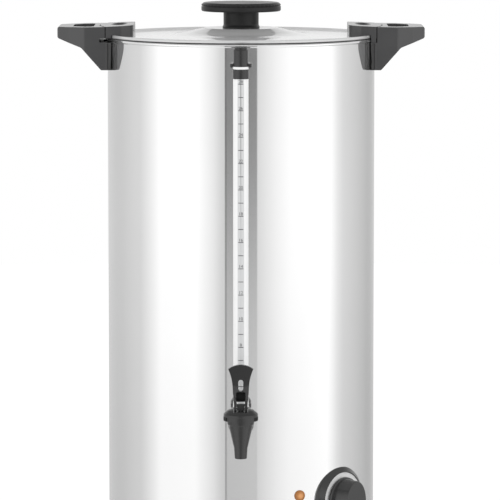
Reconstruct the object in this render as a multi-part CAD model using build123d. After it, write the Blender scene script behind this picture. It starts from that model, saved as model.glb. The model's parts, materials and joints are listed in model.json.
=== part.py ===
from build123d import *
from math import cos, radians, sin
import os

# Hot water urn: a single-walled stainless tank with a turn-to-lock lid, two loop handles, a sight
# gauge over a lever tap, and a heater compartment with a thermostat dial under the tank floor.
# Units are millimetres. The origin is on the table under the tank's axis; the tap faces -Y,
# the handles lie along X and +Z is up. Heights named *_ABOVE_RIM count from the top of the tank wall.

# ---- driving dimensions ---------------------------------------------------------------------
TANK_R = 150.0              # outside radius of the tank wall
SHEET = 0.8                 # stainless sheet of the wall and the lid
RIM_Z = 590.0               # seat height of the lid
BEAD = 3.2                  # height and depth of the wall's rolled bead
BEAD_OUT = 1.4              # how far the bead stands out from the wall
SEAL_LOW, SEAL_HIGH = -0.7, 0.5        # the lid's seal, about the rim
FLOOR_Z = 143.5             # top of the flat of the tank floor
FLOOR_SHEET = 1.0
WALL_BOTTOM_Z = 15.0        # lower edge of the tank wall, on the base ring

LID_RISE = 3.7              # top of the lid's rolled rim above the seat
LID_ANNULUS_OUT = 1.6       # height of the lid's flat annulus at its outer edge
CREASE_R, CREASE_H = 69.0, 3.2         # foot of the lid's raised cone
PLATEAU_R, PLATEAU_H = 42.0, 10.1      # flat top of the lid
PLUG_R, PLUG_DEPTH = 146.2, 9.0        # locating flange inside the tank mouth

KNOB_R, KNOB_TOP, KNOB_UNDER = 44.2, 38.5, 29.0
KNOB_NECK_R = 19.0
KNOB_SCALLOPS = 48

HANDLE_REACH = 205.6        # from the tank axis to the handle's outer end
HANDLE_HALF_WIDTH = 47.5
HANDLE_TOP, HANDLE_FOOT = 12.6, -35.3
SEAM_R = 158.0              # arc that parts the lid's blocks from the handles
SEAM_GAP = 1.0
SLOT_R = 164.8              # outer arc of the slot that holds the lid's tongue
SLOT_LOW, SLOT_HIGH = -4.6, 0.4
SLOT_END = 16.0             # closed end of the slot, past the handle's middle
BLOCK_INNER_X = 120.0
BLOCK_TOP_IN, BLOCK_TOP_OUT = 15.6, 13.3
TONGUE_R = 163.2
TONGUE_HALF = 12.0
TONGUE_LOW, TONGUE_HIGH = -2.6, -1.2

GAUGE_Y = -164.0            # axis of the sight tube
GAUGE_R, GAUGE_WALL = 8.4, 1.5
GAUGE_LOW_Z, GAUGE_HIGH_Z = 179.9, 566.8
HEAD_R, HEAD_TOP_Z = 8.3, 584.7           # black cap on the tube's end
SPIGOT_R, SPIGOT_LOW_Z = 6.9, 556.0       # the cap's stem inside the tube
COLLAR_R, COLLAR_HIGH_Z, COLLAR_LOW_Z = 9.0, 563.3, 552.9
PLUG_R_GAUGE, PLUG_TOP_Z = 4.5, 587.3
BRACKET_STUD_Z = 558.0

TAP_Y = -200.0              # axis of the tap's barrel
TAP_Z = 173.0               # axis of the shank through the wall
SHANK_R = 8.0
BONNET_R, BONNET_LOW_Z, BONNET_TOP_Z = 18.2, 183.8, 197.3
BONNET_CEILING_Z = 192.0    # inside of the bonnet, where the spring bears
NOTCH_HALF, NOTCH_Z = 7.9, 194.2       # channel over the bonnet's top for the lever's toes
SEAT_Z = 165.0
SPOUT_Z = 142.0
STEM_R, STEM_CLEARANCE = 2.6, 0.08
PIN_Z = 200.4               # lever pin, in the head of the stem
PIN_R, PIN_CLEARANCE = 1.2, 0.06
STEM_HEAD_TOP_Z = 202.6
PRONG_IN, PRONG_OUT = 4.4, 7.4
WEB_LOW_Z = 205.0           # lower edge of the lever's web, between the prongs
TOE_Z = 194.5
LEVER_TOP_Z = 244.9
SLOT_LOW_Z, SLOT_HIGH_Z = 216.8, 229.4 # finger slot through the lever

DIAL_AZIMUTH = 47.5         # degrees from the tap towards +X
DIAL_Z = 80.0
DIAL_BOSS_R = 15.5          # the bezel's boss through the wall
BEZEL_R, BEZEL_FRONT_R = 37.0, 31.9
PLATE_R = 31.0
PLATE_BACK, PLATE_FRONT = 2.6, 3.6     # along the dial's axis, from the wall
BEZEL_FRONT = 4.4
BOSS_BACK = -9.0
KNOB_SKIRT_R = 25.8
KNOB_BACK, SKIRT_FRONT, GRIP_FRONT = 4.6, 8.0, 24.5
DIAL_SCREW_X = 11.0
LAMP_AZIMUTH = 25.6
LAMP_Z = 90.0
GLAND_Z = 45.0
CABLE_R, PASSAGE_R = 4.0, 5.4          # the gland's bore for the cable, and its wider sleeve

FOOT_PCD = 268.0
FOOT_R, FOOT_HEIGHT = 11.0, 11.0
BASE_RING_R = 151.4
RESET_XY = (-55.0, 45.0)    # the reset button's place in the base plate


# ---- shape helpers --------------------------------------------------------------------------
def disc(radius, low, high):
    base = (Align.CENTER, Align.CENTER, Align.MIN)
    return Pos(0, 0, low) * Cylinder(radius, high - low, align=base)


def ring(outer, inner, low, high):
    return disc(outer, low, high) - disc(inner, low, high)


def block(x, y, z):
    """Box from three (low, high) pairs."""
    size = (x[1] - x[0], y[1] - y[0], z[1] - z[0])
    return Pos((x[0] + x[1]) / 2, (y[0] + y[1]) / 2, (z[0] + z[1]) / 2) * Box(*size)


def outline(*corners):
    """Closed face in XY. Each corner is (x, y), or (x, y, radius) where it is rounded."""
    face = make_face(Polyline(*[corner[:2] for corner in corners], close=True))
    for corner in corners:
        if len(corner) == 3:
            vertex = face.vertices().sort_by_distance((corner[0], corner[1], 0))[0]
            face = fillet(vertex, corner[2])
    return face


def turned(*corners, arc=360):
    """Solid of revolution about Z from an (r, z) outline."""
    return revolve(Plane.XZ * outline(*corners), Axis.Z, arc)


def around(count, shape, start=0):
    """The same shape turned to evenly spaced places about Z."""
    return [Rot(0, 0, start + 360 * i / count) * shape for i in range(count)]


def group(shapes):
    return Compound(children=list(shapes))


def radial_plane(azimuth, height, distance=TANK_R):
    """Plane on the wall: its z axis points outwards and its y axis up."""
    out = Vector(sin(radians(azimuth)), -cos(radians(azimuth)), 0)
    along = Vector(cos(radians(azimuth)), sin(radians(azimuth)), 0)
    return Plane(origin=out * distance + Vector(0, 0, height), x_dir=along, z_dir=out)


def on_wall(azimuth, height, shape, distance=TANK_R):
    return radial_plane(azimuth, height, distance).location * shape


def hexagon(across_flats, low, high):
    sketch = RegularPolygon(across_flats / 2, 6, major_radius=False)
    return Pos(0, 0, low) * extrude(sketch, amount=high - low)


def tank_envelope(radius=TANK_R):
    return disc(radius, -10, RIM_Z + 60)


# ---- places of the handles' screws, as (azimuth, height) --------------------------------------
HANDLE_SCREWS = [(90 + side * 12, RIM_Z - 21) for side in (-1, 1)]
HANDLE_SCREWS += [(270 + side * 12, RIM_Z - 21) for side in (-1, 1)]


# ---- tank ------------------------------------------------------------------------------------
def make_outer_shell():
    wall = ring(TANK_R, TANK_R - SHEET, WALL_BOTTOM_Z, RIM_Z - 2)
    bead_in = TANK_R + BEAD_OUT - BEAD
    bead_low = RIM_Z + SEAL_LOW - BEAD
    bead_round = 1.1
    bead = turned((bead_in, bead_low, bead_round), (bead_in + BEAD, bead_low, bead_round),
                  (bead_in + BEAD, bead_low + BEAD, bead_round), (bead_in, bead_low + BEAD, bead_round))
    shell = wall + bead
    shell -= on_wall(0, TAP_Z, disc(SHANK_R + 0.3, -20, 20))
    shell -= on_wall(0, BRACKET_STUD_Z, disc(2.7, -20, 20))
    shell -= on_wall(DIAL_AZIMUTH, DIAL_Z, disc(DIAL_BOSS_R + 0.3, -20, 20))
    shell -= on_wall(LAMP_AZIMUTH, LAMP_Z, disc(5.2, -20, 20))
    shell -= on_wall(180, GLAND_Z, disc(8.2, -20, 20))
    for azimuth, height in HANDLE_SCREWS:
        shell -= on_wall(azimuth, height, disc(2.6, -20, 20))
    return shell


def make_tank_floor():
    top = FLOOR_Z
    inner_wall = TANK_R - SHEET
    t = FLOOR_SHEET
    return turned((0, top - t), (104, top - t), (140, top + 1.5), (inner_wall - t - 2.5, top + 1.5, 3),
                  (inner_wall - t, top - 14), (inner_wall, top - 14), (inner_wall, top + 2.5, 3),
                  (140, top + 2.5), (104, top), (0, top))


def make_heat_plate():
    low = FLOOR_Z - FLOOR_SHEET - 4
    plate = disc(100, low, low + 4)
    return plate + disc(3, low - 18, low)


def make_heating_element():
    low = FLOOR_Z - FLOOR_SHEET - 12
    turns = revolve(Plane.XZ * outline((66, low, 3), (74, low, 3), (74, low + 8, 1), (66, low + 8, 1)),
                    Axis.Z, 320)
    ends = [Rot(0, 0, angle) * Pos(70, 0, 0) * disc(2.5, low - 12, low + 4) for angle in (3, 317)]
    return turns + ends[0] + ends[1]


def make_element_clamp():
    low = FLOOR_Z - FLOOR_SHEET - 15
    bar = Pos(0, 0, low) * extrude(SlotOverall(166, 16, rotation=70), amount=3)
    return bar - disc(3.2, low - 1, low + 4)


def make_clamp_nut():
    low = FLOOR_Z - FLOOR_SHEET - 20
    return hexagon(10, low, low + 5) - disc(3, low - 1, low + 6)


# ---- base ------------------------------------------------------------------------------------
def make_base_ring():
    lip = 1.3
    groove = BASE_RING_R - lip
    body = turned((128, 12), (groove - 1, 12), (groove - 1, 8), (BASE_RING_R, 8, 1.0),
                  (BASE_RING_R, 21), (groove, 21), (groove, WALL_BOTTOM_Z), (128, WALL_BOTTOM_Z))
    hole = Pos(FOOT_PCD / 2, 0, 0) * disc(2.2, 0, 30)
    for cut in around(4, hole, 45):
        body -= cut
    return body


def make_base_plate():
    plate = disc(147, 11, 12)
    vent = Pos(80, 0, 10) * extrude(SlotOverall(44, 5), amount=3)
    for cut in around(16, vent, 11.25):
        plate -= cut
    for cut in around(4, Pos(FOOT_PCD / 2, 0, 0) * disc(2.2, 0, 30), 45):
        plate -= cut
    return plate - Pos(*RESET_XY, 0) * disc(3.3, 0, 30)


def make_rubber_feet():
    foot = turned((2.2, 5.5), (5, 5.5), (5, 0), (FOOT_R - 1, 0, 0.8), (FOOT_R, FOOT_HEIGHT),
                  (2.2, FOOT_HEIGHT))
    return group(around(4, Pos(FOOT_PCD / 2, 0, 0) * foot, 45))


def make_foot_screws():
    screw = disc(4.5, 3, 5.5) + disc(2.2, 5.5, 19)
    screw -= block((-3.2, 3.2), (-0.5, 0.5), (3, 4))
    return group(around(4, Pos(FOOT_PCD / 2, 0, 0) * screw, 45))


def make_boil_dry_cutout():
    body = block((-14, 14), (-11, 11), (12, 36))
    body = fillet(body.edges().filter_by(Axis.Z), 2)
    body -= disc(3.3, 12, 20)
    tabs = [Pos(x, 0, 36) * extrude(Rectangle(0.8, 6.3), amount=8) for x in (-8, 8)]
    return Pos(*RESET_XY, 0) * (body + tabs[0] + tabs[1])


def make_reset_button():
    return Pos(*RESET_XY, 0) * turned((0, 8.5), (3, 8.5, 0.8), (3, 15.5), (0, 15.5))


def make_terminal_block():
    body = block((-22, 22), (-9, 9), (12, 30))
    for x in (-15, -5, 5, 15):
        body -= Pos(x, 0, 0) * disc(2, 20, 31)
        body -= Pos(x, 0, 17) * Rot(90, 0, 0) * Cylinder(2.2, 30)
    return Pos(0, 92, 0) * body


def make_cable_gland():
    """Strain-relief body through the wall: a wide passage inside, and a domed cap that grips the cable."""
    passage_end = 2.0
    cap = turned((CABLE_R, passage_end), (7.9, passage_end), (7.9, 0), (12, 0), (12, 6), (11, 8),
                 (10.2, 14, 2), (6.6, 17, 1), (CABLE_R, 17))
    sleeve = on_wall(180, GLAND_Z, ring(7.9, PASSAGE_R, -12, passage_end))
    return on_wall(180, GLAND_Z, cap) - tank_envelope() + sleeve


def make_gland_nut():
    nut = hexagon(22, -6, 0) - disc(7.9, -7, 1)
    return on_wall(180, GLAND_Z, nut) & tank_envelope(TANK_R - SHEET)


# ---- thermostat dial and lamp ----------------------------------------------------------------
def make_dial_bezel():
    """Black saddle: the back follows the wall, the front is flat and carries the dial plate."""
    body = turned((0, -14), (BEZEL_R, -14), (BEZEL_R, -0.4, 1), (BEZEL_FRONT_R, BEZEL_FRONT, 0.4),
                  (0, BEZEL_FRONT))
    body = on_wall(DIAL_AZIMUTH, DIAL_Z, body) - tank_envelope()
    boss = on_wall(DIAL_AZIMUTH, DIAL_Z, disc(DIAL_BOSS_R, BOSS_BACK, 1))
    body += boss
    body -= on_wall(DIAL_AZIMUTH, DIAL_Z, disc(PLATE_R, PLATE_BACK, BEZEL_FRONT + 1))
    body -= on_wall(DIAL_AZIMUTH, DIAL_Z, disc(3.3, -20, 10))
    for x in (-DIAL_SCREW_X, DIAL_SCREW_X):
        body -= on_wall(DIAL_AZIMUTH, DIAL_Z, Pos(x, 0, 0) * disc(1.6, -20, 10))
    return body


def make_dial_plate():
    plate = disc(PLATE_R, PLATE_BACK, PLATE_FRONT) - disc(3.3, 0, 9)
    for x in (-DIAL_SCREW_X, DIAL_SCREW_X):
        plate -= Pos(x, 0, 0) * disc(1.6, 0, 9)
    return on_wall(DIAL_AZIMUTH, DIAL_Z, plate)


def make_dial_screws():
    screw = disc(1.6, BOSS_BACK - 6, PLATE_FRONT) + disc(2.8, PLATE_FRONT, PLATE_FRONT + 0.5)
    return group(on_wall(DIAL_AZIMUTH, DIAL_Z, Pos(x, 0, 0) * screw) for x in (-DIAL_SCREW_X, DIAL_SCREW_X))


def make_thermostat_body():
    back = BOSS_BACK - 24
    case = block((-17, 17), (-17, 17), (back, BOSS_BACK))
    case = fillet(case.edges().filter_by(Axis.Z), 3)
    for x in (-DIAL_SCREW_X, DIAL_SCREW_X):
        case -= Pos(x, 0, 0) * disc(1.6, BOSS_BACK - 6, BOSS_BACK + 1)
    for x in (-10, 10):
        case += block((x - 0.4, x + 0.4), (-3, 3), (back - 8, back))
    return on_wall(DIAL_AZIMUTH, DIAL_Z, case)


def make_thermostat_spindle():
    shaft = disc(3, BOSS_BACK, 18) - block((-4, 4), (1.6, 4), (6, 19))
    return on_wall(DIAL_AZIMUTH, DIAL_Z, shaft)


def make_thermostat_knob():
    """Round skirt with a thick drafted grip whose ends follow the skirt."""
    skirt = turned((0, KNOB_BACK), (KNOB_SKIRT_R, KNOB_BACK, 0.6), (KNOB_SKIRT_R - 0.6, SKIRT_FRONT, 1.2),
                   (0, SKIRT_FRONT))
    grip_foot = Plane.XY.offset(SKIRT_FRONT - 1) * Ellipse(19.5, 24.4)
    grip_face = Plane.XY.offset(GRIP_FRONT) * Ellipse(15.8, 23.0)
    grip = loft([grip_foot, grip_face])
    grip = fillet(grip.edges().sort_by(Axis.Z)[-1], 1.2)
    knob = skirt + grip
    knob -= disc(3, 0, 18) - block((-4, 4), (1.6, 4), (6, 19))
    return on_wall(DIAL_AZIMUTH, DIAL_Z, knob)


def make_lamp_lens():
    lens = turned((0, -3), (5, -3), (5, -1), (6.2, -1), (6.2, 1.4, 0.6), (4.6, 1.4), (3.4, 2.6, 1.2),
                  (0, 2.6))
    flange_back = on_wall(LAMP_AZIMUTH, LAMP_Z, ring(8, 5, -3, 3)) & tank_envelope()
    return on_wall(LAMP_AZIMUTH, LAMP_Z, lens) - flange_back


def make_lamp_body():
    body = disc(5, -18, -3)
    for x in (-2, 2):
        body += block((x - 0.3, x + 0.3), (-1.5, 1.5), (-25, -18))
    return on_wall(LAMP_AZIMUTH, LAMP_Z, body)


def make_lamp_nut():
    nut = hexagon(15, -5, 0) - disc(5, -6, 1)
    return on_wall(LAMP_AZIMUTH, LAMP_Z, nut) & tank_envelope(TANK_R - SHEET)


# ---- handles ---------------------------------------------------------------------------------
def make_handle():
    """Loop handle on the +X side; its slot for the lid's tongue opens towards +Y."""
    low, high = RIM_Z + HANDLE_FOOT, RIM_Z + HANDLE_TOP
    side = outline((138, low), (155.9, low, 2), (178.1, RIM_Z - 10.3, 6), (HANDLE_REACH, RIM_Z, 3),
                   (HANDLE_REACH, high - 0.2, 3), (138, high + 0.6))
    w = HANDLE_HALF_WIDTH
    web = extrude(Plane.XZ * side, amount=w, both=True)
    front = outline((-w, low, 2.5), (w, low, 2.5), (w, high + 2), (-w, high + 2))
    web &= extrude(Plane.YZ * front, amount=HANDLE_REACH + 1)
    plan = outline((138, -w + 4), (143.6, -w + 4), (149.5, -w, 7), (175, -w, 8), (192, -w + 8, 8),
                   (HANDLE_REACH, -27, 10), (HANDLE_REACH, 27, 10), (192, w - 8, 8), (175, w, 8),
                   (149.5, w, 7), (143.6, w - 4), (138, w - 4))
    handle = web & Pos(0, 0, low - 5) * extrude(plan, amount=high - low + 15)
    finger = outline((164.5, -33, 5), (176, -33, 6), (188, -20, 6), (188, 20, 6), (176, 33, 6),
                     (164.5, 33, 5))
    handle -= Pos(0, 0, low - 5) * extrude(finger, amount=high - low + 15)
    handle -= tank_envelope()
    handle -= disc(SEAM_R + SEAM_GAP, RIM_Z + SLOT_LOW, high + 10)
    slot = ring(SLOT_R, TANK_R, RIM_Z + SLOT_LOW, RIM_Z + SLOT_HIGH)
    handle -= slot & block((0, 200), (-SLOT_END, 60), (low, high))
    for azimuth, height in HANDLE_SCREWS[:2]:
        handle -= on_wall(azimuth, height, disc(2.2, -5, 9))
    return handle


def make_handle_screws():
    """Pan-head screws from inside the tank, with room for a sealing washer under each head."""
    screw = disc(2.2, -2.2, 9) + turned((0, -4.4), (3, -4.4, 1), (5, -3.6, 0.5), (5, -2.2), (0, -2.2))
    return group(on_wall(azimuth, height, screw) for azimuth, height in HANDLE_SCREWS)


def make_handle_washers():
    washer = ring(6, 2.2, -2.2, 0)
    inside = tank_envelope(TANK_R - SHEET)
    return group(on_wall(azimuth, height, washer) & inside for azimuth, height in HANDLE_SCREWS)


# ---- lid -------------------------------------------------------------------------------------
def make_lid_seal():
    return ring(150.4, 147.8, RIM_Z + SEAL_LOW, RIM_Z + SEAL_HIGH)


def lid_top_points():
    """Upper surface of the lid, from the screw hole to the rolled rim, as (r, z)."""
    return [(PLATEAU_R, RIM_Z + PLATEAU_H), (CREASE_R, RIM_Z + CREASE_H), (148.0, RIM_Z + LID_ANNULUS_OUT)]


def make_lid_pan():
    top = lid_top_points()
    hole = 3.2
    upper = [(hole, RIM_Z + PLATEAU_H)] + top
    lower = [(r, z - SHEET) for r, z in reversed(upper)]
    pan = turned(*upper, *lower)
    rim_in, rim_out = 147.2, 150.9
    low, high = RIM_Z + SEAL_HIGH, RIM_Z + LID_RISE
    pan += turned((rim_in, low, 1.1), (rim_out, low, 1.1), (rim_out, high, 1.4), (rim_in, high, 1.4))
    pan += ring(PLUG_R, PLUG_R - SHEET, RIM_Z - PLUG_DEPTH, RIM_Z + 1.2)
    for side in (0, 180):
        for y in (-24, 24):
            pan -= Rot(0, 0, side) * Pos(134, y, 0) * disc(2.1, RIM_Z - 5, RIM_Z + 8)
    return pan


def make_lid_knob():
    z = RIM_Z
    groove = z + 34.9
    edge = KNOB_R
    foot = z + PLATEAU_H
    knob = turned((0, foot), (KNOB_NECK_R + 1.7, foot), (KNOB_NECK_R + 1.7, foot + 1),
                  (KNOB_NECK_R, foot + 3.4, 3), (KNOB_NECK_R, z + KNOB_UNDER, 2),
                  (edge - 2, z + KNOB_UNDER, 1), (edge, z + 31),
                  (edge, groove - 0.9), (edge - 0.9, groove), (edge, groove + 0.9),
                  (edge, z + KNOB_TOP - 1.6, 1.2), (edge - 2.4, z + KNOB_TOP), (0, z + KNOB_TOP))
    scallop = Pos(edge + 1.5, 0, 0) * disc(2.2, groove + 0.9, z + KNOB_TOP + 1)
    for cut in around(KNOB_SCALLOPS, scallop):
        knob -= cut
    return knob - disc(2.4, z, z + 27)


def make_knob_screw():
    z = RIM_Z + PLATEAU_H - SHEET - 1.2
    return disc(2.4, z, z + 18) + turned((0, z - 3), (3.5, z - 3, 1.5), (4.8, z - 1.5), (4.8, z), (0, z))


def make_knob_washer():
    z = RIM_Z + PLATEAU_H - SHEET
    return ring(9, 2.4, z - 1.2, z)


def make_lid_block():
    """Black block on the lid's rim at +X. Its outer face is the arc that meets the handle."""
    w = HANDLE_HALF_WIDTH
    rim_in, rim_out = 147.1, 151.9
    (crease_r, crease_z), (edge_r, edge_z) = lid_top_points()[1:]
    slope = (edge_z - crease_z) / (edge_r - crease_r)
    body = turned((110, edge_z + slope * (110 - edge_r)), (rim_in, edge_z + slope * (rim_in - edge_r)),
                  (rim_in, RIM_Z + LID_RISE), (rim_out, RIM_Z + LID_RISE), (rim_out, RIM_Z + SLOT_HIGH),
                  (SEAM_R, RIM_Z + SLOT_HIGH), (SEAM_R, RIM_Z + BLOCK_TOP_OUT), (110, RIM_Z + BLOCK_TOP_IN))
    hook_out = SEAM_R - 0.4
    boss = turned((rim_out + 0.5, RIM_Z + TONGUE_HIGH), (hook_out, RIM_Z + TONGUE_HIGH),
                  (hook_out, RIM_Z + 2), (rim_out + 0.5, RIM_Z + 2))
    boss &= block((120, 170), (-TONGUE_HALF - 2, TONGUE_HALF + 2), (RIM_Z - 20, RIM_Z + 20))
    skirt_low = RIM_Z + SLOT_LOW + 0.3
    skirt = turned((rim_out + 0.5, skirt_low), (hook_out, skirt_low), (hook_out, RIM_Z + 2),
                   (rim_out + 0.5, RIM_Z + 2))
    skirt &= block((120, 170), (-w, -SLOT_END - 2), (RIM_Z - 20, RIM_Z + 20))
    plan = outline((BLOCK_INNER_X, -w + 6, 12), (BLOCK_INNER_X, w - 6, 12), (133, w, 8), (170, w), (170, -w),
                   (133, -w, 8))
    body &= Pos(0, 0, RIM_Z - 20) * extrude(plan, amount=50)
    body = body + boss + skirt
    dish = loft([Plane.XY.offset(-4) * Ellipse(8, 25), Plane.XY.offset(1) * Ellipse(10.4, 27.4)])
    body -= Pos(137, 0, RIM_Z + BLOCK_TOP_IN) * dish
    for y in (-24, 24):
        body -= Pos(134, y, 0) * disc(1.6, RIM_Z - 5, RIM_Z + 9)
    for y in (-7, 7):
        body -= Pos(155, y, 0) * disc(1.0, RIM_Z - 5, RIM_Z + 4)
    return body


def make_lid_tongues():
    reach = ring(TONGUE_R, 152.4, RIM_Z + TONGUE_LOW, RIM_Z + TONGUE_HIGH)
    tongue = reach & block((140, 170), (-TONGUE_HALF, TONGUE_HALF), (RIM_Z - 10, RIM_Z + 10))
    for y in (-7, 7):
        tongue -= Pos(155, y, 0) * disc(1.0, RIM_Z - 5, RIM_Z + 4)
    return group(around(2, tongue))


def make_tongue_screws():
    low = RIM_Z + TONGUE_LOW
    screw = disc(1.0, low, RIM_Z + 3.5) + disc(2.0, low - 1.2, low)
    return group(turned_screw for y in (-7, 7) for turned_screw in around(2, Pos(155, y, 0) * screw))


def make_block_screws():
    """Pan heads under the lid sheet, threads up into the blocks."""
    screw = disc(1.6, RIM_Z - 2, RIM_Z + 8) + disc(3.6, RIM_Z - 2.2, RIM_Z + 0.9)
    return group(turned_screw for y in (-24, 24) for turned_screw in around(2, Pos(134, y, 0) * screw))


# ---- sight gauge -----------------------------------------------------------------------------
def at_gauge(shape):
    return Pos(0, GAUGE_Y, 0) * shape


def make_gauge_tube():
    return at_gauge(ring(GAUGE_R, GAUGE_R - GAUGE_WALL, GAUGE_LOW_Z, GAUGE_HIGH_Z))


def make_gauge_head():
    """Cap with a spigot in the tube's end, and a snug collar round the tube below it."""
    cap = turned((PLUG_R_GAUGE, HEAD_TOP_Z), (HEAD_R, HEAD_TOP_Z, 0.6), (HEAD_R, GAUGE_HIGH_Z, 0.2),
                 (SPIGOT_R, GAUGE_HIGH_Z), (SPIGOT_R, SPIGOT_LOW_Z, 0.5), (PLUG_R_GAUGE, SPIGOT_LOW_Z))
    collar = turned((GAUGE_R, COLLAR_LOW_Z), (COLLAR_R, COLLAR_LOW_Z, 0.2), (COLLAR_R, COLLAR_HIGH_Z, 0.2),
                    (GAUGE_R, COLLAR_HIGH_Z))
    return group([at_gauge(cap), at_gauge(collar)])


def make_gauge_top_plug():
    brim = 7.05
    plug = turned((0, 577), (PLUG_R_GAUGE, 577), (PLUG_R_GAUGE, HEAD_TOP_Z), (brim, HEAD_TOP_Z),
                  (brim, PLUG_TOP_Z, 1), (0, PLUG_TOP_Z))
    return at_gauge(plug)


def make_gauge_bracket():
    """Clip that holds the cap's lower end, on a foot that is screwed through the wall."""
    low, high = 566.8, 569.2
    plate = block((-11.8, 11.8), (GAUGE_Y - 3, -140), (low, high))
    plate = fillet(plate.edges().filter_by(Axis.Z).sort_by(Axis.Y)[:2], 2)
    plate -= at_gauge(disc(HEAD_R, low - 1, high + 1))
    foot = block((-7, 7), (-153.5, -140), (550, low))
    bracket = (plate + foot) - tank_envelope()
    return bracket - on_wall(0, BRACKET_STUD_Z, disc(2.1, -20, 20))


def make_bracket_screw():
    """Screw from inside the tank into the bracket's foot."""
    screw = disc(2.1, -3.4, 3.4) + disc(4.2, -3.4, -2.0)
    return on_wall(0, BRACKET_STUD_Z, screw)


def make_bracket_washer():
    return on_wall(0, BRACKET_STUD_Z, ring(5, 2.1, -2.0, 0)) & tank_envelope(TANK_R - SHEET)


def make_gauge_seal():
    return at_gauge(ring(9.5, GAUGE_R, 180.4, 188))


# ---- tap -------------------------------------------------------------------------------------
def at_tap(shape):
    return Pos(0, TAP_Y, 0) * shape


def across_pin(radius, half_length):
    """Cylinder about the lever pin's axis, before it is set at the tap."""
    return Pos(0, 0, PIN_Z) * Rot(0, 90, 0) * Cylinder(radius, 2 * half_length)


def make_tap_body():
    """Barrel with a tapered spout, a shank through the wall and a socket for the sight tube."""
    barrel = turned((0, SPOUT_Z), (6.7, SPOUT_Z, 0.8), (7.4, 153.5, 6), (13.4, 178.4), (14.6, 179.8),
                    (15.3, BONNET_LOW_Z), (14.0, BONNET_LOW_Z), (14.0, 190), (0, 190))
    shank = on_wall(0, TAP_Z, disc(9.2, 4, 38) + disc(14, 2.5, 6) + disc(SHANK_R, -16, 6))
    port = at_gauge(disc(11.4, 176, 189.5))
    body = at_tap(barrel) + shank + port
    body -= at_tap(turned((0, SPOUT_Z - 1), (4.6, SPOUT_Z - 1), (4.6, SEAT_Z), (6.9, SEAT_Z), (7.4, 171),
                          (10.6, 179.5), (11.2, 182), (11.2, 191), (0, 191)))
    body -= on_wall(0, TAP_Z, disc(5, -17, 44))
    body -= at_gauge(disc(9.5, 179.5, 190))
    return body - at_gauge(disc(4, TAP_Z, 180))


def make_tap_washer_outer():
    return on_wall(0, TAP_Z, ring(13, SHANK_R, -3, 2.5)) - tank_envelope()


def make_tap_washer_inner():
    return on_wall(0, TAP_Z, ring(12.5, SHANK_R, -4, 0)) & tank_envelope(TANK_R - SHEET)


def make_tap_locknut():
    return on_wall(0, TAP_Z, hexagon(24, -10, -4) - disc(SHANK_R, -11, -3))


def make_tap_bonnet():
    """Domed cap that closes the barrel, with a channel for the lever's toes and ribbed sides."""
    bore = STEM_R + STEM_CLEARANCE
    bonnet = turned((14.0, BONNET_LOW_Z), (BONNET_R - 0.2, BONNET_LOW_Z, 0.5), (BONNET_R, 188.6, 1),
                    (17.2, 190.8, 1), (12.9, 195.3, 3), (8.5, BONNET_TOP_Z, 1.5), (bore, BONNET_TOP_Z),
                    (bore, BONNET_CEILING_Z), (12.2, BONNET_CEILING_Z), (14.0, 190.4))
    flute = Pos(BONNET_R - 0.5, 0, 0) * disc(1.5, BONNET_LOW_Z - 1, 188.4)
    for azimuth in range(-36, 37, 12):
        for side in (0, 180):
            bonnet -= Rot(0, 0, side + azimuth) * flute
    bonnet -= block((-NOTCH_HALF, NOTCH_HALF), (-20, 20), (NOTCH_Z, BONNET_TOP_Z + 1))
    return at_tap(bonnet)


def make_tap_stem():
    """Rod with a collar for the spring and a flat head that carries the lever pin."""
    rod = disc(STEM_R, 168, TOE_Z + 1)
    collar = disc(6, 176, 177.5)
    head = block((0.2 - PRONG_IN, PRONG_IN - 0.2), (-2.6, 2.6), (TOE_Z + 0.4, STEM_HEAD_TOP_Z))
    head = fillet(head.edges().filter_by(Axis.X).sort_by(Axis.Z)[-2:], 1.6)
    return at_tap(rod + collar + head - across_pin(PIN_R, 10))


def make_lever_pin():
    return at_tap(across_pin(PIN_R, PRONG_OUT))


def make_seat_cup():
    cup = turned((0, SEAT_Z), (6.2, SEAT_Z, 0.4), (6.8, 170.5), (6.4, 176), (STEM_R, 176),
                 (STEM_R, 168), (0, 168))
    return at_tap(cup)


def make_tap_spring():
    wire, turns_radius, low = 0.55, 4.6, 178.05
    high = BONNET_CEILING_Z - wire
    path = Helix(pitch=(high - low) / 4.5, height=high - low, radius=turns_radius)
    start = Plane(origin=path @ 0, z_dir=path % 0)
    coil = sweep(start * Circle(wire), path=path)
    return at_tap(Pos(0, 0, low) * coil)


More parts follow.
